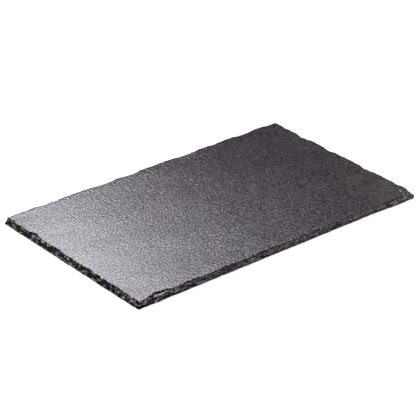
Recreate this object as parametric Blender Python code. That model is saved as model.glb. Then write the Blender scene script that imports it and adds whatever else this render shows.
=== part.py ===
"""A small natural slate board: one riven slab with chipped, dressed edges.

The slab lies on its flat underside with its long side along X. Its origin is
in the middle of the underside. The four sides are named by the way they face:
near is -Y, far is +Y, left is -X and right is +X.
"""
import math
import random

import bmesh
import bpy
import numpy as np
from mathutils import Vector, noise

MM = 0.001

# Driving sizes, in mm. The slab is split a little thinner at its right end.
LENGTH = 265.0
WIDTH = 162.5
THICK_LEFT = 5.3
THICK_RIGHT = 4.7
CORNER_RADII = {"near_left": 1.6, "near_right": 3.6, "far_right": 2.6, "far_left": 1.4}

# The foot of each side wanders, and the near side swells outward toward its right end.
OUTLINE_ROUGHNESS = 0.36
OUTLINE_WAVE = 11.0
SWELL_OUT = 1.2
SWELL_START = 88.0
SWELL_RUN = 26.0

# The steep skin of broken stone that is left between the scars.
SKIN_FOOT = 1.5
SKIN_STEEPNESS = 4.2
SKIN_ROUGHNESS = 0.4
THINNEST_FOOT = 0.35

# Flake scars along each side. Each scar is a bowl. The pairs are the least and most of its
# spacing, half length, reach inward, height of its foot, and rise of its middle over the face.
SCAR_RULES = (
    ("left", (2.0, 5.0), (2.2, 5.0), (1.5, 2.7), (0.0, 2.2), (0.0, 1.2)),
    ("left", (1.1, 3.0), (0.9, 2.2), (0.9, 2.2), (1.2, 4.2), (0.0, 0.4)),
    ("right", (3.0, 6.5), (3.0, 6.5), (1.0, 2.1), (0.0, 1.8), (0.0, 1.2)),
    ("right", (2.0, 5.0), (1.2, 3.2), (0.7, 1.8), (1.0, 3.4), (0.0, 0.4)),
    ("near", (3.0, 7.5), (3.4, 10.0), (1.3, 2.6), (0.0, 2.0), (0.0, 1.2)),
    ("near", (2.2, 6.0), (1.4, 5.5), (0.8, 2.3), (1.0, 4.0), (0.0, 0.4)),
    ("far", (3.0, 7.5), (3.4, 9.0), (1.0, 2.1), (0.0, 2.0), (0.0, 1.2)),
    ("far", (2.2, 6.0), (1.4, 5.0), (0.7, 1.8), (1.0, 4.0), (0.0, 0.4)),
)
SCAR_SEED = 11

# Bigger bites in the top arris: side, place along it, half length, reach, height of the foot.
BITES = (
    ("far", -42, 15, 3.2, 0.6),
    ("far", -17, 11, 3.6, 0.4),
    ("far", 66, 5.5, 2.8, 1.0),
    ("far", 126, 9, 3.4, 0.4),
    ("right", -63, 4.5, 2.8, 0.8),
    ("right", 12, 6, 3.0, 0.6),
    ("near", 96, 4.0, 2.4, 0.2),
    ("left", 60, 4.5, 3.4, 1.2),
    ("left", 76, 5.5, 3.8, 1.4),
)
BITE_RISE = 0.5

# Flat ledges where a sheet has split away: side, place, half length, reach, depth under the face.
LEDGES = (
    ("near", -113, 11, 3.6, 1.5),
    ("near", -86, 12, 2.9, 0.9),
    ("near", -52, 9, 2.7, 2.0),
    ("near", -14, 13, 2.9, 1.2),
    ("near", 34, 10, 2.6, 1.6),
    ("near", 73, 12, 3.3, 0.8),
    ("near", 112, 9, 3.0, 1.0),
    ("far", -92, 11, 2.8, 1.3),
    ("far", 38, 14, 3.0, 1.0),
    ("far", 98, 12, 2.8, 1.5),
    ("left", -58, 5, 2.9, 1.2),
    ("left", -22, 6, 2.7, 2.2),
    ("left", 18, 5, 2.8, 1.6),
    ("right", -30, 9, 2.7, 1.1),
    ("right", 44, 8, 2.9, 1.4),
)
LEDGE_RISER = 0.3
LEDGE_RAGGEDNESS = 0.2

# The broken stone steps down through cleavage sheets, in patches.
SHEET = 0.85
SHEET_WAVE = 22.0
SHEET_WANDER = 0.35
RISER_STEEPNESS = 3.2
PATCH_WAVE = 15.0
PATCH_SHARE = 0.75
PATCH_CONTRAST = 0.9

# Slow relief of the split face, and the roughness of broken stone.
FACE_RELIEF = 0.20
FACE_WAVES = (62.0, 34.0)
BROKEN_RELIEF = 0.22
BROKEN_WAVE = 2.6

# Each kind of relief reads its own layer of the noise.
OUTLINE_LAYER, FACE_LAYER, BROKEN_LAYER, SHEET_LAYER, PATCH_LAYER = 0.0, 4.0, 9.0, 15.0, 21.0

# Cells of the grid before its flat stretches are thinned out: fine in the rim, wider inside it.
RIM_BAND = 5.0
RIM_CELL = 0.4
FIELD_CELL = 0.9
TRIANGLES = 9400

NAME = "slate_board"
SHARP_ANGLE = math.radians(28)
SLATE_COLOUR = (0.093, 0.089, 0.094, 1.0)
SLATE_ROUGHNESS = 0.62

SIDES = ("left", "right", "near", "far")
HALF_LENGTH = LENGTH / 2
HALF_WIDTH = WIDTH / 2


def clear_scene():
    for obj in list(bpy.data.objects):
        bpy.data.objects.remove(obj, do_unlink=True)


def wave(x, y, layer, octaves=3):
    """Smooth noise, about -1 to 1, at each point of the arrays x and y."""
    points = zip(x.ravel(), y.ravel())
    values = [noise.fractal(Vector((a, b, layer)), 1.0, 2.1, octaves) for a, b in points]
    return np.array(values).reshape(x.shape)


def smooth_rise(value):
    """0 below 0, 1 above 1, and an even curve between."""
    value = np.clip(value, 0.0, 1.0)
    return value * value * (3.0 - 2.0 * value)


def half_of(side):
    """Half the length of a side, along which its scars lie."""
    return HALF_WIDTH if side in ("left", "right") else HALF_LENGTH


def outline_shift(side, along):
    """How far the foot of a side stands out from the straight line."""
    lane = np.full_like(along, 10.0 * SIDES.index(side))
    shift = OUTLINE_ROUGHNESS * wave(along / OUTLINE_WAVE, lane, OUTLINE_LAYER, 4)
    if side == "near":
        shift = shift + SWELL_OUT * smooth_rise((along - SWELL_START) / SWELL_RUN)
    return shift


def grid_lines(half_span):
    """Places of the grid lines across the slab."""
    rim = np.arange(0.0, RIM_BAND, RIM_CELL)
    field = half_span - RIM_BAND
    middle = np.linspace(-field, field, int(round(2 * field / FIELD_CELL)) + 1)
    return np.concatenate([rim - half_span, middle, (half_span - rim)[::-1]])


def round_corners(u, v):
    """Draw the square corners of the plan in to their radii."""
    x, y = u.copy(), v.copy()
    for corner, radius in CORNER_RADII.items():
        to_right = 1 if corner.endswith("right") else -1
        to_far = 1 if corner.startswith("far") else -1
        middle_x = to_right * (HALF_LENGTH - radius)
        middle_y = to_far * (HALF_WIDTH - radius)
        across = (u - middle_x) * to_right
        down = (v - middle_y) * to_far
        inside = (across > 0) & (down > 0)
        pull = np.maximum(across, down)[inside] / np.hypot(across, down)[inside]
        x[inside] = middle_x + to_right * across[inside] * pull
        y[inside] = middle_y + to_far * down[inside] * pull
    return x, y


def plan_points(u, v):
    """Lay the even grid out on the slab's own outline, and measure in from each side."""
    x, y = round_corners(u, v)
    shift = {side: outline_shift(side, y if side in ("left", "right") else x) for side in SIDES}
    blend = 3 * RIM_BAND
    x = x + smooth_rise((np.abs(u) - HALF_LENGTH + blend) / blend) * np.where(u > 0, shift["right"], -shift["left"])
    y = y + smooth_rise((np.abs(v) - HALF_WIDTH + blend) / blend) * np.where(v > 0, shift["far"], -shift["near"])
    places = {
        "left": (y, x + HALF_LENGTH + shift["left"]),
        "right": (y, HALF_LENGTH + shift["right"] - x),
        "near": (x, y + HALF_WIDTH + shift["near"]),
        "far": (x, HALF_WIDTH + shift["far"] - y),
    }
    return x, y, places


def rim_distance(places):
    """Distance in from the outline, rounded at the corners."""
    across = np.minimum(places["left"][1], places["right"][1])
    down = np.minimum(places["near"][1], places["far"][1])
    radius = sum(CORNER_RADII.values()) / len(CORNER_RADII)
    round_part = radius - np.hypot(np.maximum(radius - across, 0.0), np.maximum(radius - down, 0.0))
    distance = np.where((across < radius) & (down < radius), round_part, np.minimum(across, down))
    return np.maximum(distance, 0.0)


def struck_scars():
    """Every scar: its side, place along, half length, reach, foot height and rise of its middle."""
    rng = random.Random(SCAR_SEED)
    for side, spacing, *limits in SCAR_RULES:
        place = -half_of(side) - 1.0
        while place < half_of(side) + 1.0:
            yield (side, place, *(rng.uniform(*pair) for pair in limits))
            place += rng.uniform(*spacing)
    for bite in BITES:
        yield (*bite, BITE_RISE)


def strike_scars(height, face, places):
    """Lower the height to every bowl that is struck into the rim."""
    for side, place, half, reach, foot, rise in struck_scars():
        along, inward = places[side]
        hit = (np.abs(along - place) < half) & (inward < reach)
        offset = (along[hit] - place) / half
        depth = np.maximum(inward[hit], 0.0) / reach
        middle = face[hit] + rise
        bowl = middle - (middle - foot) * np.sqrt(np.maximum(1.0 - offset ** 2 - depth ** 2, 0.0))
        height[hit] = np.minimum(height[hit], bowl)
    return height


def split_ledges(height, face, places, broken):
    """Take off the sheets that have split away to a flat ledge."""
    for side, place, half, reach, drop in LEDGES:
        along, inward = places[side]
        span = np.sqrt(np.maximum(1.0 - ((along - place) / half) ** 2, 0.0))
        edge = reach * span * (1.0 + LEDGE_RAGGEDNESS * broken)
        floor = face - drop * (1.0 - smooth_rise((inward - edge) / LEDGE_RISER))
        height = np.where(edge > 0, np.minimum(height, floor), height)
    return height


def step_through_sheets(height, face, x, y):
    """Break the slopes of the rim into treads and risers along the cleavage."""
    wander = SHEET_WANDER * wave(x / SHEET_WAVE, y / SHEET_WAVE, SHEET_LAYER)
    within = np.mod((height + wander) / SHEET, 1.0)
    stepped = np.clip((within - 0.5) * RISER_STEEPNESS + 0.5, 0.0, 1.0) - within
    patch = smooth_rise(PATCH_SHARE + PATCH_CONTRAST * wave(x / PATCH_WAVE, y / PATCH_WAVE, PATCH_LAYER))
    return height + SHEET * stepped * patch * under_face(height, face)


def under_face(height, face):
    """0 on the split face, rising to 1 within part of a sheet below it."""
    return smooth_rise((face - height) / (0.6 * SHEET))


def slab_top(x, y, places):
    """Height of the upper surface over each point of the plan."""
    thick = THICK_LEFT + (THICK_RIGHT - THICK_LEFT) * (x + HALF_LENGTH) / LENGTH
    face = thick + FACE_RELIEF * wave(x / FACE_WAVES[0], y / FACE_WAVES[1], FACE_LAYER)
    broken = wave(x / BROKEN_WAVE, y / BROKEN_WAVE, BROKEN_LAYER)
    skin = SKIN_FOOT + SKIN_STEEPNESS * rim_distance(places) * (1.0 + SKIN_ROUGHNESS * broken)
    height = strike_scars(np.minimum(face, skin), face, places)
    height = split_ledges(height, face, places, broken)
    height = height + BROKEN_RELIEF * broken * under_face(height, face)
    height = step_through_sheets(height, face, x, y)
    return np.maximum(height, THINNEST_FOOT)


def slab_mesh():
    """A flat grid is the underside. It is extruded up, and its upper copy takes the relief."""
    columns, rows = grid_lines(HALF_LENGTH), grid_lines(HALF_WIDTH)
    v, u = [part.ravel() for part in np.meshgrid(rows, columns, indexing="ij")]
    x, y, places = plan_points(u, v)
    top = slab_top(x, y, places)
    x = x - (x.max() + x.min()) / 2
    y = y - (y.max() + y.min()) / 2

    bm = bmesh.new()
    bmesh.ops.create_grid(bm, x_segments=len(columns) - 1, y_segments=len(rows) - 1, size=1.0)
    grid_index = bm.verts.layers.int.new("grid_index")
    for index, vert in enumerate(sorted(bm.verts, key=lambda vert: (round(vert.co.y, 5), vert.co.x))):
        vert[grid_index] = index
        vert.co = Vector((x[index], y[index], 0.0)) * MM
    made = bmesh.ops.extrude_face_region(bm, geom=bm.faces[:], use_keep_orig=True)
    for item in made["geom"]:
        if isinstance(item, bmesh.types.BMVert):
            item.co.z = top[item[grid_index]] * MM
    bmesh.ops.recalc_face_normals(bm, faces=bm.faces)
    mesh = bpy.data.meshes.new(NAME)
    bm.to_mesh(mesh)
    bm.free()
    return mesh


def slate_material():
    material = bpy.data.materials.new("slate")
    material.use_nodes = True
    shader = material.node_tree.nodes["Principled BSDF"]
    shader.inputs["Base Color"].default_value = SLATE_COLOUR
    shader.inputs["Roughness"].default_value = SLATE_ROUGHNESS
    shader.inputs["Metallic"].default_value = 0.0
    material.diffuse_color = SLATE_COLOUR
    return material


def build():
    clear_scene()
    collection = bpy.data.collections.new(NAME)
    bpy.context.scene.collection.children.link(collection)
    mesh = slab_mesh()
    mesh.materials.append(slate_material())
    mesh.shade_smooth()
    mesh.set_sharp_from_angle(angle=SHARP_ANGLE)
    board = bpy.data.objects.new(NAME, mesh)
    collection.objects.link(board)

    thin = board.modifiers.new("Thin out flat stretches", "DECIMATE")
    thin.decimate_type = "COLLAPSE"
    thin.ratio = TRIANGLES / (2 * len(mesh.polygons))
    thin.use_collapse_triangulate = True


build()
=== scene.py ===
"""The finished look of a small natural slate board, photographed on white."""
import math
import random

import bpy
import numpy as np
from mathutils import Matrix, Vector, noise


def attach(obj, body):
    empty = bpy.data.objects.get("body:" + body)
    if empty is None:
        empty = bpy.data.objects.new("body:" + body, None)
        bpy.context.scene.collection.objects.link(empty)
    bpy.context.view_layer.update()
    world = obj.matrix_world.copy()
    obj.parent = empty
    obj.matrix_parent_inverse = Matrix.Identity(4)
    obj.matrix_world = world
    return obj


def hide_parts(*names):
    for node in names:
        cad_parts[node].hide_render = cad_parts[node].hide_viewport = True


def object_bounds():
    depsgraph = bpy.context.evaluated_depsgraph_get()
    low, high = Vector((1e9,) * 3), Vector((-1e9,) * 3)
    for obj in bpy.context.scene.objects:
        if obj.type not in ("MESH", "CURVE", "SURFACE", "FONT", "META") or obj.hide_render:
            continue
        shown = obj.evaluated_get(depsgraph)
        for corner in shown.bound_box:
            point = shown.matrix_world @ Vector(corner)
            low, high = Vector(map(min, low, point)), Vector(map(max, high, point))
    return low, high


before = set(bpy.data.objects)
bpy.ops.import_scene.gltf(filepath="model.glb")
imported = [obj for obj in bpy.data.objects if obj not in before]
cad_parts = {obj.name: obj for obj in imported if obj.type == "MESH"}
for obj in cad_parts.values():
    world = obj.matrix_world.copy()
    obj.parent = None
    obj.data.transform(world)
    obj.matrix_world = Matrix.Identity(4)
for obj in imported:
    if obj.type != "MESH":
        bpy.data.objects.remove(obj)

CAD_LOW, CAD_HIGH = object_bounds()
MM = 0.001

# Smooth noise: how its finer waves weaken, how much finer each is, and how many there are. The
# outline of each side has its own lane of noise, this far from the next.
WAVE_FALL = 1.0
WAVE_STEP = 2.1
WAVES = 3
MANY_WAVES = 4
LANE_STEP = 10.0

# Driving sizes, in mm, as the solid has them.
LENGTH = 265.0
WIDTH = 162.5
THICK_LEFT = 5.3
THICK_RIGHT = 4.7
CORNER_RADII = {"near_left": 1.6, "near_right": 3.6, "far_right": 2.6, "far_left": 1.4}
OUTLINE_ROUGHNESS = 0.36
OUTLINE_WAVE = 11.0
SWELL_OUT = 1.2
SWELL_START = 88.0
SWELL_RUN = 26.0
SKIN_FOOT = 1.5
SKIN_STEEPNESS = 4.2
SKIN_ROUGHNESS = 0.4
THINNEST_FOOT = 0.35

# Flake scars along each side. Each scar is a bowl. The pairs are the least and most of its
# spacing, half length, reach inward, height of its foot, and rise of its middle over the face.
SCAR_RULES = (
    ("left", (2.0, 5.0), (2.2, 5.0), (1.5, 2.7), (0.0, 2.2), (0.0, 1.2)),
    ("left", (1.1, 3.0), (0.9, 2.2), (0.9, 2.2), (1.2, 4.2), (0.0, 0.4)),
    ("right", (3.0, 6.5), (3.0, 6.5), (1.0, 2.1), (0.0, 1.8), (0.0, 1.2)),
    ("right", (2.0, 5.0), (1.2, 3.2), (0.7, 1.8), (1.0, 3.4), (0.0, 0.4)),
    ("near", (3.0, 7.5), (3.4, 10.0), (1.3, 2.6), (0.0, 2.0), (0.0, 1.2)),
    ("near", (2.2, 6.0), (1.4, 5.5), (0.8, 2.3), (1.0, 4.0), (0.0, 0.4)),
    ("far", (3.0, 7.5), (3.4, 9.0), (1.0, 2.1), (0.0, 2.0), (0.0, 1.2)),
    ("far", (2.2, 6.0), (1.4, 5.0), (0.7, 1.8), (1.0, 4.0), (0.0, 0.4)),
)
SCAR_SEED = 11
SCAR_OVERRUN = 1.0

# Bigger bites in the top arris: side, place along it, half length, reach, height of the foot.
BITES = (
    ("far", -42, 15, 3.2, 0.6),
    ("far", -17, 11, 3.6, 0.4),
    ("far", 66, 5.5, 2.8, 1.0),
    ("far", 126, 9, 3.4, 0.4),
    ("right", -63, 4.5, 2.8, 0.8),
    ("right", 12, 6, 3.0, 0.6),
    ("near", 96, 4.0, 2.4, 0.2),
    ("left", 60, 4.5, 3.4, 1.2),
    ("left", 76, 5.5, 3.8, 1.4),
)
BITE_RISE = 0.5

# On the sides where the top arris was dressed closer, scars keep to this share of their reach.
DRESSED_SHARE = {"left": 0.55, "near": 0.55, "right": 1.0, "far": 1.0}

# Flat ledges where a sheet has split away: side, place, half length, reach, depth under the face.
LEDGES = (
    ("near", -113, 10, 5.4, 1.1),
    ("near", -86, 12, 2.9, 0.9),
    ("near", -52, 9, 2.7, 2.0),
    ("near", -14, 13, 2.9, 1.2),
    ("near", 34, 10, 2.6, 1.6),
    ("near", 73, 12, 3.3, 0.8),
    ("near", 112, 9, 3.0, 1.0),
    ("far", -92, 11, 2.8, 1.3),
    ("far", 38, 14, 3.0, 1.0),
    ("far", 98, 12, 2.8, 1.5),
    ("left", 45, 5.0, 4.4, 0.9),
    ("left", -58, 5, 2.9, 1.2),
    ("left", -22, 6, 2.7, 2.2),
    ("left", 18, 5, 2.8, 1.6),
    ("right", -30, 9, 2.7, 1.1),
    ("right", 44, 8, 2.9, 1.4),
)
LEDGE_RISER = 0.3
LEDGE_RAGGEDNESS = 0.5
LEDGE_BLUNTNESS = 0.35
LEDGE_KEPT_SHARE = 0.8

# The near right corner is worn down: height at the very corner, and its rise going in.
WORN_CORNER_FOOT = 1.3
WORN_CORNER_SLOPE = 0.33
WORN_CORNER_RAGGEDNESS = 0.5

# Small flakes split off the wall: side, then (least, most) of spacing, half length, reach, depth.
# The deeper a flake lies under the face, the less it reaches in, so the flakes leave steps.
FLAKE_RULES = (
    ("left", (0.8, 2.2), (0.6, 1.6), (1.8, 3.6), (0.4, 2.6)),
    ("left", (1.6, 4.4), (1.2, 3.4), (1.8, 3.0), (0.5, 3.6)),
    ("near", (2.0, 5.0), (1.8, 6.0), (1.6, 2.8), (0.5, 3.6)),
    ("right", (3.0, 7.0), (1.2, 3.5), (1.4, 2.4), (0.7, 3.6)),
    ("far", (6.0, 16.0), (2.0, 5.0), (1.0, 2.0), (0.7, 3.6)),
)
FLAKE_FLOOR = 4.6
FLAKE_SEED = 3

# The way out of the slab turns softly round a corner, over about this distance.
CORNER_TURN = 0.3

# The broken stone steps down through cleavage sheets, in patches.
SHEET = 0.85
FACE_SHARE_OF_SHEET = 0.6
SHEET_WAVE = 22.0
SHEET_WANDER = 0.35
RISER_STEEPNESS = 3.2
PATCH_WAVE = 15.0
PATCH_SHARE = 0.75
PATCH_CONTRAST = 0.9
FACE_RELIEF = 0.20
FACE_WAVES = (62.0, 34.0)
BROKEN_RELIEF = 0.08
BROKEN_WAVE = 2.6
OUTLINE_LAYER, FACE_LAYER, BROKEN_LAYER, SHEET_LAYER, PATCH_LAYER = 0.0, 4.0, 9.0, 15.0, 21.0

# The far arris is worn round, and stone this far below the face counts as broken.
FAR_RIM_REACH = 4.2
FAR_RIM_RAGGEDNESS = 0.5
FAR_RIM_FALL = 0.15
BROKEN_BELOW = 0.25

# Shallow hollows of the split underside.
HOLLOW_DEPTH = 0.22
HOLLOW_WAVE = 30.0
HOLLOW_LAYER = 33.0
HOLLOW_SHARE = 0.4
HOLLOW_MARGIN = 0.2

# The wavy outline fades out over this band. Then the cells of the fine grid, and the triangles kept.
OUTLINE_BAND = 15.0
RIM_BAND = 5.0
SKIRT_BAND = 0.9
SKIRT_CELL = 0.036
RIM_CELL = 0.22
FIELD_CELL = 0.55
WALL_ROWS = 8
TRIANGLES = 192000

# Fine relief of the finish, in metres. The width of a crack is a share of a facet, and the pits
# are counted by the square metre.
FINISH = {
    "Sheet Pitch": 0.45 * MM,
    "Sheet Length": 3.0 * MM,
    "Sheet Relief": 0.2 * MM,
    "Facet Height": 1.0 * MM,
    "Facet Length": 3.4 * MM,
    "Facet Relief": 0.7 * MM,
    "Facet Setback": 0.15 * MM,
    "Crack Width": 0.09,
    "Ripple Wave": 9.0 * MM,
    "Ripple Relief": 0.05 * MM,
    "Grain Wave": 2.6 * MM,
    "Grain Relief": 0.05 * MM,
    "Pit Density": 6000.0,
    "Pit Radius": 0.7 * MM,
    "Pit Depth": 0.10 * MM,
    "Seed": 5,
}
FINISH_ROUGHNESS = 0.6
SHEET_DETAIL = 2.0
RIPPLE_DETAIL = 3.0
GRAIN_DETAIL = 2.0
FACET_SHARE_AT_FOOT = 0.45

# Ripple, grain and pits stay above this height, pits also where the stone faces up this far, and
# stone more broken than this is shaded flat.
LOWEST_FACE = 1.0 * MM
UPWARD = 0.9
MOSTLY_BROKEN = 0.5

# Colours of the face, its far rim one a painted shade, and of the broken stone from the left end to the
# right one.
FACE_COLOURS = {
    "cool": (0.029, 0.0255, 0.030, 1.0),
    "warm": (0.037, 0.030, 0.033, 1.0),
    "rusty": (0.034, 0.031, 0.027, 1.0),
    "dusty": (0.104, 0.092, 0.082, 1.0),
    "stained": (0.060, 0.053, 0.030, 1.0),
    # The far rim colour is painted shade, where the worn rim falls away from the softbox.
    "far rim": (0.014, 0.013, 0.014, 1.0),
}
# The broken stone gets lighter toward the right end: partly its crumbly stone, partly painted light where
# the right fill light falls.
DARK_CHIPS = {
    "left": (0.024, 0.021, 0.023, 1.0),
    "middle": (0.105, 0.094, 0.098, 1.0),
    "right": (0.175, 0.156, 0.163, 1.0),
}
# Painted highlights: the pale chips stand in for facets catching the light, brightest at the left end.
CHIP_HIGHLIGHTS = {
    "left": (0.520, 0.477, 0.483, 1.0),
    "middle": (0.250, 0.226, 0.233, 1.0),
    "right": (0.320, 0.289, 0.297, 1.0),
}
# Painted shade in the cracks between facets.
CRACK_SHADE_COLOUR = (0.012, 0.011, 0.012, 1.0)

# Middle of the olive stain near the left end of the near side.
STAIN = (-122 * MM, -68 * MM, 5 * MM)

# How strongly each patch covers the stone, the far rim's painted shade among them, and how much a chip's
# standing out counts toward its painted highlight.
DUST_STRENGTH = 0.8
STAIN_STRENGTH = 0.8
FAR_RIM_SHADE_STRENGTH = 0.7
PROUD_HIGHLIGHT_SHARE = 0.5

# Noise of the material: its size, and how much finer noise lies in it.
SPECKLES = {
    "clouds": (38 * MM, 3.0),
    "rust": (24 * MM, 4.0),
    "dust": (9 * MM, 3.0),
    "face grain": (1.9 * MM, 1.0),
    "chip grain": (1.3 * MM, 1.0),
    "sheen grain": (1.3 * MM, 1.0),
    "fine roughness": (0.9 * MM, 2.0),
    "bumps": (1.6 * MM, 1.0),
}

# Noise drawn out along the cleavage: its size along it and across it.
STREAKS = {
    "chips": (2.6 * MM, 0.9 * MM),
    "partings": (7.0 * MM, 0.75 * MM),
}
STREAK_DETAIL = 1.0

# Fades of the material: the two ends of what leads it, then what it gives at each end.
FADES = {
    "clouds": (0.38, 0.62, 0.0, 1.0),
    "rust": (0.60, 0.72, 0.0, 1.0),
    "dust": (0.3, 0.6, 0.0, 1.0),
    "dust toward the right": (88 * MM, 128 * MM, 0.0, 1.0),
    "dust toward the near side": (-25 * MM, -70 * MM, 0.15, 1.2),
    "stain": (16 * MM, 2 * MM, 0.0, 1.0),
    "face toward the near side": (80 * MM, -80 * MM, 0.77, 1.25),
    "face grain": (0.3, 0.7, 0.1, 1.9),
    "past the left end": (-128 * MM, -85 * MM, 0.0, 1.0),
    "toward the right end": (-20 * MM, 125 * MM, 0.0, 1.0),
    # Where the painted highlights of the pale chips come in.
    "chips": (0.80, 0.94, 0.0, 1.0),
    "chip grain": (0.3, 0.7, 0.4, 1.6),
    "partings": (0.36, 0.48, 0.12, 1.0),
    # Painted contact shadow, darkening the broken stone toward the foot.
    "painted contact shadow at the foot": (0.2 * MM, 1.8 * MM, 0.4, 1.08),
    "rugged off the level": (0.85, 0.98, 1.0, 0.1),
    "fine roughness": (0.3, 0.7, -0.06, 0.06),
    "roughness toward the right": (-115 * MM, 10 * MM, 0.272, 0.228),
    "sheen grain": (0.34, 0.70, 0.15, 1.1),
    "sheen toward the far side": (-80 * MM, 60 * MM, 0.92, 1.19),
    "sheen of the stain": (0.0, 1.0, 1.0, 0.82),
    "sheen where rugged": (0.0, 1.0, 1.0, 0.45),
    "sheen of the far rim": (0.0, 1.0, 1.0, 0.08),
    "bumps toward the right": (-130 * MM, -20 * MM, 0.36, 1.15),
}
BROKEN_ROUGHNESS = 0.15
BUMP_DEPTH = 0.29 * MM

# The white table, and the grey room round it.
TABLE_RADIUS = 6.0
TABLE_CORNERS = 96
TABLE_DROP = 0.2 * MM
TABLE_COLOUR = (0.85, 0.85, 0.85, 1.0)
TABLE_ROUGHNESS = 0.9
TABLE_GLOW = 0.75
WHITE = (1.0, 1.0, 1.0, 1.0)
ROOM_COLOUR = (1.04, 0.95, 1.06, 1.0)
ROOM_STRENGTH = 0.1

# Soft panels of light, in metres and watts. The stone mirrors only the softbox.
LIGHTS = (
    {"name": "softbox", "place": (0.184, 0.332, 0.512), "aim": (-0.078, -0.19, 0.0), "wide": 0.34,
     "deep": 0.535, "roll": 0.788, "power": 4.6, "colour": (1.0, 0.975, 1.06), "mirrored": True},
    {"name": "left rim light", "place": (-0.95, 0.85, 0.40), "aim": (0.0, 0.0, 0.0), "wide": 0.35,
     "deep": 0.35, "roll": 0.0, "power": 7.5, "colour": (1.0, 0.99, 1.0), "mirrored": False},
    {"name": "right fill light", "place": (0.85, -0.95, 0.40), "aim": (0.0, 0.0, 0.0), "wide": 0.35,
     "deep": 0.35, "roll": 0.0, "power": 4.5, "colour": (1.0, 0.97, 1.0), "mirrored": False},
)

# Camera of the photograph.
AZIMUTH = math.radians(-39.46)
ELEVATION = math.radians(27.68)
DISTANCE = 1.488
SIDE_STEP = -0.0035
RISE_STEP = 0.0017
FOCAL_PIXELS = 1987.0
FRAME_PIXELS = 416
SENSOR = 36.0
NEAREST_SEEN = 0.05
FARTHEST_SEEN = 30.0

SIDES = ("left", "right", "near", "far")
HALF_LENGTH = LENGTH / 2
HALF_WIDTH = WIDTH / 2


def wave(x, y, layer, waves=WAVES):
    """Smooth noise, about -1 to 1, at each point of the arrays x and y."""
    places = (Vector((a, b, layer)) for a, b in zip(x.ravel(), y.ravel()))
    values = [noise.fractal(place, WAVE_FALL, WAVE_STEP, waves) for place in places]
    return np.array(values).reshape(x.shape)


def smooth_rise(value):
    """0 below 0, 1 above 1, and an even curve between."""
    value = np.clip(value, 0.0, 1.0)
    return value * value * (3.0 - 2.0 * value)


def half_of(side):
    """Half the length of a side, along which its scars lie."""
    return HALF_WIDTH if side in ("left", "right") else HALF_LENGTH


def outline_shift(side, along):
    """How far the foot of a side stands out from the straight line."""
    lane = np.full_like(along, LANE_STEP * SIDES.index(side))
    shift = OUTLINE_ROUGHNESS * wave(along / OUTLINE_WAVE, lane, OUTLINE_LAYER, MANY_WAVES)
    if side == "near":
        shift = shift + SWELL_OUT * smooth_rise((along - SWELL_START) / SWELL_RUN)
    return shift


def grid_lines(half_span):
    """Places of the grid lines across the slab."""
    skirt = np.linspace(0.0, SKIRT_BAND, int(round(SKIRT_BAND / SKIRT_CELL)), endpoint=False)
    rim = np.concatenate([skirt, np.arange(SKIRT_BAND, RIM_BAND, RIM_CELL)])
    field = half_span - RIM_BAND
    middle = np.linspace(-field, field, int(round(2 * field / FIELD_CELL)) + 1)
    return np.concatenate([rim - half_span, middle, (half_span - rim)[::-1]])


def round_corners(u, v):
    """Draw the square corners of the plan in to their radii."""
    x, y = u.copy(), v.copy()
    for corner, radius in CORNER_RADII.items():
        to_right = 1 if corner.endswith("right") else -1
        to_far = 1 if corner.startswith("far") else -1
        middle_x = to_right * (HALF_LENGTH - radius)
        middle_y = to_far * (HALF_WIDTH - radius)
        across = (u - middle_x) * to_right
        down = (v - middle_y) * to_far
        inside = (across > 0) & (down > 0)
        pull = np.maximum(across, down)[inside] / np.hypot(across, down)[inside]
        x[inside] = middle_x + to_right * across[inside] * pull
        y[inside] = middle_y + to_far * down[inside] * pull
    return x, y


def plan_points(u, v):
    """Lay the even grid out on the slab's own outline, and measure in from each side."""
    x, y = round_corners(u, v)
    shift = {side: outline_shift(side, y if side in ("left", "right") else x) for side in SIDES}
    toward_end = smooth_rise((np.abs(u) - HALF_LENGTH + OUTLINE_BAND) / OUTLINE_BAND)
    toward_side = smooth_rise((np.abs(v) - HALF_WIDTH + OUTLINE_BAND) / OUTLINE_BAND)
    x = x + toward_end * np.where(u > 0, shift["right"], -shift["left"])
    y = y + toward_side * np.where(v > 0, shift["far"], -shift["near"])
    places = {
        "left": (y, x + HALF_LENGTH + shift["left"]),
        "right": (y, HALF_LENGTH + shift["right"] - x),
        "near": (x, y + HALF_WIDTH + shift["near"]),
        "far": (x, HALF_WIDTH + shift["far"] - y),
    }
    return x, y, places


def rim_distance(places):
    """Distance in from the outline, rounded at the corners."""
    across = np.minimum(places["left"][1], places["right"][1])
    down = np.minimum(places["near"][1], places["far"][1])
    radius = sum(CORNER_RADII.values()) / len(CORNER_RADII)
    round_part = radius - np.hypot(np.maximum(radius - across, 0.0), np.maximum(radius - down, 0.0))
    distance = np.where((across < radius) & (down < radius), round_part, np.minimum(across, down))
    return np.maximum(distance, 0.0)


def outward_from(places):
    """Level direction out of the slab at each point, led by the nearest sides."""
    pull = {side: (np.maximum(places[side][1], 0.0) + CORNER_TURN) ** -2.0 for side in SIDES}
    across = pull["right"] - pull["left"]
    down = pull["far"] - pull["near"]
    level = np.zeros_like(across)
    return np.stack([across, down, level], 1) / np.hypot(across, down)[:, None]


def struck_scars():
    """Every scar: its side, place along, half length, reach, foot height and rise of its middle."""
    rng = random.Random(SCAR_SEED)
    for side, spacing, *limits in SCAR_RULES:
        place = -half_of(side) - SCAR_OVERRUN
        while place < half_of(side) + SCAR_OVERRUN:
            yield (side, place, *(rng.uniform(*pair) for pair in limits))
            place += rng.uniform(*spacing)
    for bite in BITES:
        yield (*bite, BITE_RISE)


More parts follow.
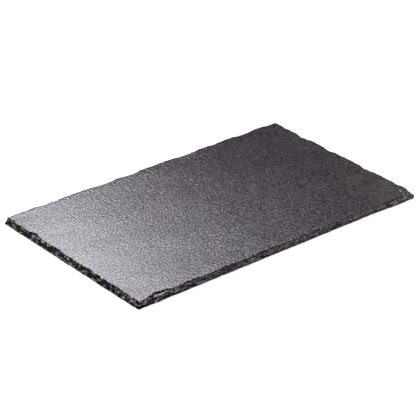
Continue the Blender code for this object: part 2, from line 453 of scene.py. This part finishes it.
def strike_scars(height, face, places):
    """Lower the height to every bowl that is struck into the rim."""
    for side, place, half, reach, foot, rise in struck_scars():
        along, inward = places[side]
        reach = reach * DRESSED_SHARE[side]
        hit = (np.abs(along - place) < half) & (inward < reach)
        offset = (along[hit] - place) / half
        depth = np.maximum(inward[hit], 0.0) / reach
        middle = face[hit] + rise
        bowl = middle - (middle - foot) * np.sqrt(np.maximum(1.0 - offset ** 2 - depth ** 2, 0.0))
        height[hit] = np.minimum(height[hit], bowl)
    return height


def on_a_ledge(side, place, depth):
    """Whether a flake would take off the tread of a ledge that has stayed."""
    return any(side == own and abs(place - middle) < LEDGE_KEPT_SHARE * half and depth > drop
               for own, middle, half, _, drop in LEDGES)


def split_flakes():
    """Every small flake: its side, place along, half length, reach and depth under the face."""
    rng = random.Random(FLAKE_SEED)
    for side, spacing, *limits in FLAKE_RULES:
        place = -half_of(side)
        while place < half_of(side):
            half, reach, depth = (rng.uniform(*pair) for pair in limits)
            if not on_a_ledge(side, place, depth):
                yield side, place, half, reach * (1.0 - depth / FLAKE_FLOOR), depth
            place += rng.uniform(*spacing)


def split_ledges(height, face, places, broken):
    """Take off the sheets and flakes that have split away to a flat ledge."""
    for side, place, half, reach, drop in (*LEDGES, *split_flakes()):
        along, inward = places[side]
        span = np.maximum(1.0 - ((along - place) / half) ** 2, 0.0) ** LEDGE_BLUNTNESS
        edge = reach * span * (1.0 + LEDGE_RAGGEDNESS * broken) * DRESSED_SHARE[side] ** 0.5
        floor = face - drop * (1.0 - smooth_rise((inward - edge) / LEDGE_RISER))
        height = np.where(edge > 0, np.minimum(height, floor), height)
    return height


def under_face(height, face):
    """0 on the split face, rising to 1 within part of a sheet below it."""
    return smooth_rise((face - height) / (FACE_SHARE_OF_SHEET * SHEET))


def step_through_sheets(height, face, x, y):
    """Break the slopes of the rim into treads and risers along the cleavage."""
    wander = SHEET_WANDER * wave(x / SHEET_WAVE, y / SHEET_WAVE, SHEET_LAYER)
    within = np.mod((height + wander) / SHEET, 1.0)
    stepped = np.clip((within - 0.5) * RISER_STEEPNESS + 0.5, 0.0, 1.0) - within
    patch = smooth_rise(PATCH_SHARE + PATCH_CONTRAST * wave(x / PATCH_WAVE, y / PATCH_WAVE, PATCH_LAYER))
    return height + SHEET * stepped * patch * under_face(height, face)


def slab_heights(x, y, places):
    """At each point: height of the top and of the underside, how broken, and how near the far rim."""
    thick = THICK_LEFT + (THICK_RIGHT - THICK_LEFT) * (x + HALF_LENGTH) / LENGTH
    face = thick + FACE_RELIEF * wave(x / FACE_WAVES[0], y / FACE_WAVES[1], FACE_LAYER)
    broken = wave(x / BROKEN_WAVE, y / BROKEN_WAVE, BROKEN_LAYER)
    rim = rim_distance(places)
    skin = SKIN_FOOT + SKIN_STEEPNESS * rim * (1.0 + SKIN_ROUGHNESS * broken)
    height = strike_scars(np.minimum(face, skin), face, places)
    height = split_ledges(height, face, places, broken)
    from_corner = np.hypot(places["right"][1], places["near"][1])
    rise = WORN_CORNER_SLOPE * from_corner * (1.0 + WORN_CORNER_RAGGEDNESS * broken)
    height = np.minimum(height, WORN_CORNER_FOOT + rise)
    height = height + BROKEN_RELIEF * broken * under_face(height, face)
    height = step_through_sheets(height, face, x, y)
    height = np.maximum(height, THINNEST_FOOT)
    far_reach = FAR_RIM_REACH * (1.0 + FAR_RIM_RAGGEDNESS * broken)
    far_rim = 1.0 - smooth_rise(places["far"][1] / far_reach)
    height = height - FAR_RIM_FALL * far_rim
    hollow = smooth_rise(HOLLOW_SHARE + wave(x / HOLLOW_WAVE, y / HOLLOW_WAVE, HOLLOW_LAYER, MANY_WAVES))
    under = HOLLOW_DEPTH * hollow * smooth_rise(rim / RIM_BAND - HOLLOW_MARGIN)
    return height, under, smooth_rise((face - height) / BROKEN_BELOW), far_rim


def store(mesh, name, values):
    """Keep a number for each point of the mesh."""
    layer = mesh.attributes.new(name, "FLOAT", "POINT")
    layer.data.foreach_set("value", values.astype(np.float32))


def store_direction(mesh, name, directions):
    """Keep a direction for each point of the mesh."""
    layer = mesh.attributes.new(name, "FLOAT_VECTOR", "POINT")
    layer.data.foreach_set("vector", directions.ravel().astype(np.float32))


def slab_faces(index, loop):
    """Faces of the upper grid, of the underside grid, and of the wall from ring to ring."""
    corners = [index[:-1, :-1], index[:-1, 1:], index[1:, 1:], index[1:, :-1]]
    cells = np.stack(corners, -1).reshape(-1, 4)
    below = index.size
    rings = [loop + below]
    rings += [2 * below + step * len(loop) + np.arange(len(loop)) for step in range(WALL_ROWS - 1)]
    rings += [loop]
    strips = []
    for low, high in zip(rings, rings[1:]):
        strips.append(np.stack([low, np.roll(low, -1), np.roll(high, -1), high], -1))
    return np.concatenate([cells, cells[:, ::-1] + below, *strips])


def slab_mesh():
    """One closed mesh: the upper grid, the underside grid and the wall round their edge."""
    columns, rows = grid_lines(HALF_LENGTH), grid_lines(HALF_WIDTH)
    v, u = [part.ravel() for part in np.meshgrid(rows, columns, indexing="ij")]
    x, y, places = plan_points(u, v)
    top, under, broken, far_rim = slab_heights(x, y, places)
    x = x - (x.max() + x.min()) / 2
    y = y - (y.max() + y.min()) / 2

    index = np.arange(len(u)).reshape(len(rows), len(columns))
    loop = np.concatenate([index[0, :-1], index[:-1, -1], index[-1, :0:-1], index[:0:-1, 0]])
    shares = np.arange(1, WALL_ROWS) / WALL_ROWS
    wall = [np.stack([x[loop], y[loop], top[loop] * share], 1) for share in shares]
    points = np.concatenate([np.stack([x, y, top], 1), np.stack([x, y, under], 1), *wall]) * MM
    points = np.clip(points, np.array(CAD_LOW), np.array(CAD_HIGH))
    mesh = bpy.data.meshes.new("slate_board_finish")
    mesh.from_pydata(points.tolist(), [], slab_faces(index, loop).tolist())

    on_edge = np.zeros_like(broken)
    on_edge[loop] = 1.0
    wall_points = np.tile(loop, WALL_ROWS - 1)
    outward = outward_from(places)
    store(mesh, "broken", np.concatenate([broken, on_edge, np.ones(len(wall_points))]))
    store(mesh, "far_rim", np.concatenate([far_rim, 0 * far_rim, far_rim[wall_points]]))
    store_direction(mesh, "outward", np.concatenate([outward, outward, outward[wall_points]]))
    return mesh


def add_node(tree, kind, settings=None, **links):
    """Add a node. A link is a value or another node's output, for the input of that name, or of
    that number where the name is one such as _0."""
    node = tree.nodes.new(kind)
    for name, value in (settings or {}).items():
        setattr(node, name, value)
    for name, value in links.items():
        key = int(name[1:]) if name[0] == "_" and name[1:].isdigit() else name.replace("_", " ")
        socket = node.inputs[key]
        if isinstance(value, bpy.types.NodeSocket):
            tree.links.new(value, socket)
        else:
            socket.default_value = value
    return node


def calculate(tree, operation, first, second=0.0):
    """One step of arithmetic in a node tree."""
    return add_node(tree, "ShaderNodeMath", {"operation": operation}, _0=first, _1=second).outputs[0]


def combine(tree, x=0.0, y=0.0, z=0.0):
    """A vector from its three parts."""
    return add_node(tree, "ShaderNodeCombineXYZ", X=x, Y=y, Z=z).outputs[0]


def split(tree, vector):
    """The three parts of a vector, by X, Y and Z."""
    return add_node(tree, "ShaderNodeSeparateXYZ", Vector=vector).outputs


def spread(tree, value, low, high, to_low=0.0, to_high=1.0):
    """Stretch a value from one range to another, and hold it there."""
    node = add_node(tree, "ShaderNodeMapRange", Value=value, From_Min=low, From_Max=high, To_Min=to_low,
                    To_Max=to_high)
    return node.outputs[0]


def vector_step(tree, operation, first, second=None, scale=None):
    """One step of arithmetic with vectors in a node tree."""
    node = add_node(tree, "ShaderNodeVectorMath", {"operation": operation}, _0=first)
    if second is not None:
        tree.links.new(second, node.inputs[1])
    if scale is not None:
        tree.links.new(scale, node.inputs["Scale"])
    return node.outputs["Value" if operation == "DOT_PRODUCT" else "Vector"]


def finish_sockets(tree):
    """The tree's named inputs and its output. Returns the outputs of the input node."""
    tree.interface.new_socket("Geometry", in_out="INPUT", socket_type="NodeSocketGeometry")
    for name, value in FINISH.items():
        kind = "NodeSocketInt" if isinstance(value, int) else "NodeSocketFloat"
        tree.interface.new_socket(name, in_out="INPUT", socket_type=kind)
    tree.interface.new_socket("Material", in_out="INPUT", socket_type="NodeSocketMaterial")
    tree.interface.new_socket("Geometry", in_out="OUTPUT", socket_type="NodeSocketGeometry")
    return tree.nodes.new("NodeGroupInput").outputs


def drawn_out(tree, where, across, upright):
    """The place, measured in units of these sizes along the cleavage and up through it."""
    level_x = calculate(tree, "DIVIDE", where["X"], across)
    level_y = calculate(tree, "DIVIDE", where["Y"], across)
    return combine(tree, level_x, level_y, calculate(tree, "DIVIDE", where["Z"], upright))


def relief(tree, spot, depth, detail):
    """Noise about zero, scaled to this depth."""
    value = add_node(tree, "ShaderNodeTexNoise", Vector=spot, Scale=1.0, Detail=detail,
                     Roughness=FINISH_ROUGHNESS).outputs[0]
    return calculate(tree, "MULTIPLY", calculate(tree, "SUBTRACT", value, 0.5), depth)


def facet_relief(tree, spot, where, size):
    """How far each leaning facet stands out, how proud it is, and the cracks between facets."""
    cell = add_node(tree, "ShaderNodeTexVoronoi", Vector=spot, Scale=1.0).outputs
    tilt = vector_step(tree, "SUBTRACT", cell["Color"], combine(tree, 0.5, 0.5, 0.5))
    from_middle = vector_step(tree, "SUBTRACT", spot, cell["Position"])
    lean = vector_step(tree, "DOT_PRODUCT", tilt, from_middle)
    level = split(tree, tilt)["X"]
    facets = calculate(tree, "MULTIPLY", calculate(tree, "ADD", lean, level), size["Facet Relief"])
    facets = calculate(tree, "SUBTRACT", facets, size["Facet Setback"])
    above_foot = spread(tree, where["Z"], 0.0, size["Facet Height"], FACET_SHARE_AT_FOOT, 1.0)
    facets = calculate(tree, "MULTIPLY", facets, above_foot)
    proud = calculate(tree, "ADD", level, 0.5)
    edge = add_node(tree, "ShaderNodeTexVoronoi", {"feature": "DISTANCE_TO_EDGE"}, Vector=spot, Scale=1.0)
    crack = spread(tree, edge.outputs[0], 0.0, size["Crack Width"], 1.0, 0.0)
    return facets, proud, crack


def pit_depth(tree, facing, size):
    """Depth of the small round pits scattered over the face."""
    on_face = calculate(tree, "GREATER_THAN", facing["Z"], UPWARD)
    scatter = add_node(tree, "GeometryNodeDistributePointsOnFaces", Mesh=size["Geometry"],
                       Density=size["Pit Density"], Seed=size["Seed"], Selection=on_face)
    gap = add_node(tree, "GeometryNodeProximity", {"target_element": "POINTS"}, Geometry=scatter.outputs[0])
    bowl = add_node(tree, "ShaderNodeMapRange", {"interpolation_type": "SMOOTHSTEP"},
                    Value=gap.outputs["Distance"], From_Min=0.0, From_Max=size["Pit Radius"], To_Min=1.0,
                    To_Max=0.0)
    return calculate(tree, "MULTIPLY", bowl.outputs[0], size["Pit Depth"])


def finish_tree():
    """Fine relief: facets, cracks and thin sheet edges on the rim, ripple, grain and pits on the face."""
    tree = bpy.data.node_groups.new("Riven slate finish", "GeometryNodeTree")
    size = finish_sockets(tree)
    where = split(tree, add_node(tree, "GeometryNodeInputPosition").outputs[0])
    facing = split(tree, add_node(tree, "GeometryNodeInputNormal").outputs[0])
    broken = add_node(tree, "GeometryNodeInputNamedAttribute", Name="broken").outputs[0]
    outward = add_node(tree, "GeometryNodeInputNamedAttribute", {"data_type": "FLOAT_VECTOR"},
                       Name="outward").outputs[0]

    sheet_spot = drawn_out(tree, where, size["Sheet Length"], size["Sheet Pitch"])
    sheets = relief(tree, sheet_spot, size["Sheet Relief"], SHEET_DETAIL)
    facet_spot = drawn_out(tree, where, size["Facet Length"], size["Facet Height"])
    facets, proud, crack = facet_relief(tree, facet_spot, where, size)
    reach = calculate(tree, "MULTIPLY", calculate(tree, "ADD", sheets, facets), broken)
    push = vector_step(tree, "SCALE", outward, scale=reach)

    ripple_spot = drawn_out(tree, where, size["Ripple Wave"], size["Ripple Wave"])
    ripple = relief(tree, ripple_spot, size["Ripple Relief"], RIPPLE_DETAIL)
    grain_spot = drawn_out(tree, where, size["Grain Wave"], size["Grain Wave"])
    grain = relief(tree, grain_spot, size["Grain Relief"], GRAIN_DETAIL)
    raised = calculate(tree, "GREATER_THAN", where["Z"], LOWEST_FACE)
    whole = calculate(tree, "SUBTRACT", 1.0, broken)
    lift = calculate(tree, "MULTIPLY", calculate(tree, "ADD", ripple, grain), whole)
    pit = calculate(tree, "MULTIPLY", pit_depth(tree, facing, size), whole)
    lift = calculate(tree, "MULTIPLY", calculate(tree, "SUBTRACT", lift, pit), raised)
    offset = vector_step(tree, "ADD", push, combine(tree, z=lift))

    # The crack mask carries painted shade into the cracks.
    marked = add_node(tree, "GeometryNodeStoreNamedAttribute", Geometry=size["Geometry"], Name="crack",
                      Value=crack)
    # The proud mark makes chips that stand out take painted highlights.
    marked = add_node(tree, "GeometryNodeStoreNamedAttribute", Geometry=marked.outputs[0], Name="proud",
                      Value=proud)
    moved = add_node(tree, "GeometryNodeSetPosition", Geometry=marked.outputs[0], Offset=offset)
    real = add_node(tree, "GeometryNodeRealizeInstances", Geometry=moved.outputs[0])
    dressed = add_node(tree, "GeometryNodeSetMaterial", Geometry=real.outputs[0], Material=size["Material"])
    out = tree.nodes.new("NodeGroupOutput")
    tree.links.new(dressed.outputs[0], out.inputs["Geometry"])
    return tree


def set_inputs(modifier, tree, values):
    """Set a modifier's inputs by their sockets' identifiers."""
    for item in tree.interface.items_tree:
        if item.in_out == "INPUT" and item.name in values:
            modifier[item.identifier] = values[item.name]


def plain_mesh_of(obj, name):
    """The evaluated shape as a plain mesh, with the modifiers left behind."""
    graph = bpy.context.evaluated_depsgraph_get()
    mesh = bpy.data.meshes.new_from_object(obj.evaluated_get(graph), preserve_all_data_layers=True,
                                           depsgraph=graph)
    mesh.name = name
    return mesh


def slate_board(material):
    """The slab: its fine grid, the finish laid over it, and flat stretches thinned out."""
    rough = bpy.data.objects.new("rough_slab", slab_mesh())
    bpy.context.scene.collection.objects.link(rough)
    tree = finish_tree()
    finish = rough.modifiers.new("Finish", "NODES")
    finish.node_group = tree
    set_inputs(finish, tree, {**FINISH, "Material": material})
    thin = rough.modifiers.new("Thin out flat stretches", "DECIMATE")
    thin.ratio = TRIANGLES / (2 * len(rough.data.polygons))
    thin.use_collapse_triangulate = True
    mesh = plain_mesh_of(rough, "slate_board_finished")
    bpy.data.objects.remove(rough, do_unlink=True)
    board = bpy.data.objects.new("slate_slab", mesh)
    bpy.context.scene.collection.objects.link(board)
    keep_inside_solid(mesh)
    flatten_broken_faces(mesh)
    return board


def keep_inside_solid(mesh):
    """Hold the finish inside the outer sizes of the solid."""
    points = np.empty(3 * len(mesh.vertices), dtype=np.float32)
    mesh.vertices.foreach_get("co", points)
    points = np.clip(points.reshape(-1, 3), np.array(CAD_LOW), np.array(CAD_HIGH))
    mesh.vertices.foreach_set("co", points.ravel())
    mesh.update()


def flatten_broken_faces(mesh):
    """Shade the split face smooth, and every chip of the broken stone as a flat facet."""
    broken = np.empty(len(mesh.vertices), dtype=np.float32)
    mesh.attributes["broken"].data.foreach_get("value", broken)
    corners = np.empty(3 * len(mesh.polygons), dtype=np.int32)
    mesh.loops.foreach_get("vertex_index", corners)
    flat = broken[corners.reshape(-1, 3)].mean(1) > MOSTLY_BROKEN
    mesh.polygons.foreach_set("use_smooth", ~flat)


def mark(tree, name):
    """A number kept on the mesh."""
    return add_node(tree, "ShaderNodeAttribute", {"attribute_name": name}).outputs["Fac"]


def speckle(tree, spot, name):
    """Noise of one size, even in all directions."""
    size, detail = SPECKLES[name]
    return add_node(tree, "ShaderNodeTexNoise", Vector=spot, Scale=1.0 / size, Detail=detail).outputs[0]


def streaked(tree, spot, name):
    """Noise drawn out along the cleavage."""
    along, across = STREAKS[name]
    drawn = add_node(tree, "ShaderNodeMapping", {"vector_type": "TEXTURE"}, Vector=spot)
    drawn.inputs["Scale"].default_value = (along, along, across)
    return add_node(tree, "ShaderNodeTexNoise", Vector=drawn.outputs[0], Scale=1.0,
                    Detail=STREAK_DETAIL).outputs[0]


def fade(tree, value, name):
    """One of the material's fades, led by this value."""
    return spread(tree, value, *FADES[name])


def patches(tree, spot, name):
    """Speckles brought to the strength that the fade of the same name gives them."""
    return fade(tree, speckle(tree, spot, name), name)


def blend(tree, factor, first, second, mode="MIX"):
    """One colour over another."""
    node = add_node(tree, "ShaderNodeMix", {"data_type": "RGBA", "blend_type": mode})
    for socket, value in ((node.inputs[0], factor), (node.inputs[6], first), (node.inputs[7], second)):
        if isinstance(value, bpy.types.NodeSocket):
            tree.links.new(value, socket)
        else:
            socket.default_value = value
    return node.outputs[2]


def shade(tree, colour, strength):
    """A colour made lighter or darker by a number."""
    grey = add_node(tree, "ShaderNodeCombineColor", Red=strength, Green=strength, Blue=strength).outputs[0]
    return blend(tree, 1.0, colour, grey, "MULTIPLY")


def face_colour(tree, spot, axes, stain):
    """The split face: cool and warm clouds, rust, grain, a dusty right end and an olive stain."""
    stone = blend(tree, patches(tree, spot, "clouds"), FACE_COLOURS["cool"], FACE_COLOURS["warm"])
    stone = blend(tree, patches(tree, spot, "rust"), stone, FACE_COLOURS["rusty"])
    stone = shade(tree, stone, fade(tree, axes["Y"], "face toward the near side"))
    stone = shade(tree, stone, patches(tree, spot, "face grain"))
    dust = calculate(tree, "MULTIPLY", fade(tree, axes["X"], "dust toward the right"),
                     patches(tree, spot, "dust"))
    dust = calculate(tree, "MULTIPLY", dust, fade(tree, axes["Y"], "dust toward the near side"))
    stone = blend(tree, calculate(tree, "MULTIPLY", dust, DUST_STRENGTH), stone, FACE_COLOURS["dusty"])
    return blend(tree, calculate(tree, "MULTIPLY", stain, STAIN_STRENGTH), stone, FACE_COLOURS["stained"])


def chip_colour(tree, axes, colours):
    """The colour of one kind of chip, from the left end over the middle to the right end; the change along
    the slab is partly painted light.
    """
    past_left_end = fade(tree, axes["X"], "past the left end")
    toward_right_end = fade(tree, axes["X"], "toward the right end")
    chips = blend(tree, past_left_end, colours["left"], colours["middle"])
    return blend(tree, toward_right_end, chips, colours["right"])


def broken_colour(tree, spot, axes):
    """The broken stone: proud chips painted pale as highlights on dark stone, partings along the cleavage,
    a painted contact shadow toward the foot, and painted shade in the cracks.
    """
    chip = calculate(tree, "ADD", calculate(tree, "MULTIPLY", mark(tree, "proud"), PROUD_HIGHLIGHT_SHARE),
                     streaked(tree, spot, "chips"))
    stone = blend(tree, fade(tree, chip, "chips"), chip_colour(tree, axes, DARK_CHIPS),
                  chip_colour(tree, axes, CHIP_HIGHLIGHTS))
    stone = shade(tree, stone, patches(tree, spot, "chip grain"))
    stone = shade(tree, stone, fade(tree, streaked(tree, spot, "partings"), "partings"))
    # Painted contact shadow toward the foot.
    stone = shade(tree, stone, fade(tree, axes["Z"], "painted contact shadow at the foot"))
    # Painted shade in the cracks.
    return blend(tree, mark(tree, "crack"), stone, CRACK_SHADE_COLOUR)


def slate_material():
    """Dark violet grey slate: soft sheen on the split face and on treads, dull where it is rugged."""
    material = bpy.data.materials.new("Riven slate")
    material.use_nodes = True
    tree = material.node_tree
    shader = tree.nodes["Principled BSDF"]
    spot = add_node(tree, "ShaderNodeTexCoord").outputs["Object"]
    axes = split(tree, spot)
    far_rim = mark(tree, "far_rim")
    upward = split(tree, add_node(tree, "ShaderNodeNewGeometry").outputs["Normal"])["Z"]
    rugged = calculate(tree, "MULTIPLY", mark(tree, "broken"), fade(tree, upward, "rugged off the level"))
    from_stain = add_node(tree, "ShaderNodeVectorMath", {"operation": "DISTANCE"}, _0=spot, _1=STAIN)
    stain = fade(tree, from_stain.outputs["Value"], "stain")

    stone = blend(tree, rugged, face_colour(tree, spot, axes, stain), broken_colour(tree, spot, axes))
    # Painted shade darkens the far rim.
    shaded = calculate(tree, "MULTIPLY", far_rim, FAR_RIM_SHADE_STRENGTH)
    stone = blend(tree, shaded, stone, FACE_COLOURS["far rim"])
    tree.links.new(stone, shader.inputs["Base Color"])

    dull = calculate(tree, "ADD", fade(tree, axes["X"], "roughness toward the right"),
                     calculate(tree, "MULTIPLY", rugged, BROKEN_ROUGHNESS))
    roughness = calculate(tree, "ADD", patches(tree, spot, "fine roughness"), dull)
    tree.links.new(roughness, shader.inputs["Roughness"])

    sheen = patches(tree, spot, "sheen grain")
    sheen = calculate(tree, "MULTIPLY", sheen, fade(tree, axes["Y"], "sheen toward the far side"))
    sheen = calculate(tree, "MULTIPLY", sheen, fade(tree, stain, "sheen of the stain"))
    sheen = calculate(tree, "MULTIPLY", sheen, fade(tree, rugged, "sheen where rugged"))
    sheen = calculate(tree, "MULTIPLY", sheen, fade(tree, far_rim, "sheen of the far rim"))
    tree.links.new(sheen, shader.inputs["Specular IOR Level"])

    bumps = calculate(tree, "MULTIPLY", speckle(tree, spot, "bumps"),
                      fade(tree, axes["X"], "bumps toward the right"))
    bump = add_node(tree, "ShaderNodeBump", Height=bumps, Strength=1.0, Distance=BUMP_DEPTH)
    tree.links.new(bump.outputs[0], shader.inputs["Normal"])
    return material


def pale_floor():
    """A white table, slightly lit from within, under the slab."""
    bpy.ops.mesh.primitive_circle_add(vertices=TABLE_CORNERS, radius=TABLE_RADIUS, fill_type="NGON",
                                      location=(0.0, 0.0, -TABLE_DROP))
    floor = bpy.context.object
    floor.name = "floor"
    material = bpy.data.materials.new("White table")
    material.use_nodes = True
    shader = material.node_tree.nodes["Principled BSDF"]
    shader.inputs["Base Color"].default_value = TABLE_COLOUR
    shader.inputs["Roughness"].default_value = TABLE_ROUGHNESS
    shader.inputs["Emission Color"].default_value = WHITE
    shader.inputs["Emission Strength"].default_value = TABLE_GLOW
    floor.data.materials.append(material)
    floor.visible_glossy = False


def soft_light(name, place, aim, wide, deep, roll, power, colour, mirrored):
    """One soft panel light. One that isn't mirrored shows no reflection of itself on the stone."""
    data = bpy.data.lights.new(name, "AREA")
    data.color = colour
    data.shape = "RECTANGLE"
    data.size, data.size_y, data.energy = wide, deep, power
    light = bpy.data.objects.new(name, data)
    light.location = place
    facing = (Vector(aim) - Vector(place)).to_track_quat("-Z", "Y").to_matrix()
    light.rotation_euler = (facing @ Matrix.Rotation(roll, 3, "Z")).to_euler()
    light.visible_camera = False
    light.visible_glossy = mirrored
    bpy.context.scene.collection.objects.link(light)


def studio():
    """A softbox behind the slab, two low side lights that it doesn't mirror, and an even grey room."""
    for light in LIGHTS:
        soft_light(**light)
    world = bpy.data.worlds.new("Room")
    world.use_nodes = True
    background = world.node_tree.nodes["Background"]
    background.inputs["Color"].default_value = ROOM_COLOUR
    background.inputs["Strength"].default_value = ROOM_STRENGTH
    bpy.context.scene.world = world
    bpy.context.scene.view_settings.view_transform = "Standard"


def camera():
    """The photograph's own viewpoint, aimed just beside the middle of the slab."""
    back = Vector((math.sin(AZIMUTH) * math.cos(ELEVATION), -math.cos(AZIMUTH) * math.cos(ELEVATION),
                   math.sin(ELEVATION)))
    right = (-back).cross(Vector((0.0, 0.0, 1.0))).normalized()
    up = right.cross(-back)
    place = back * DISTANCE + right * SIDE_STEP + up * RISE_STEP
    data = bpy.data.cameras.new("camera")
    data.lens = FOCAL_PIXELS / FRAME_PIXELS * SENSOR
    data.sensor_width = SENSOR
    data.clip_start, data.clip_end = NEAREST_SEEN, FARTHEST_SEEN
    eye = bpy.data.objects.new("camera", data)
    eye.matrix_world = Matrix.Translation(place) @ Matrix((right, up, back)).transposed().to_4x4()
    bpy.context.scene.collection.objects.link(eye)
    bpy.context.scene.camera = eye


camera()
pale_floor()
studio()
board = slate_board(slate_material())
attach(board, "root")
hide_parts("slate_board")
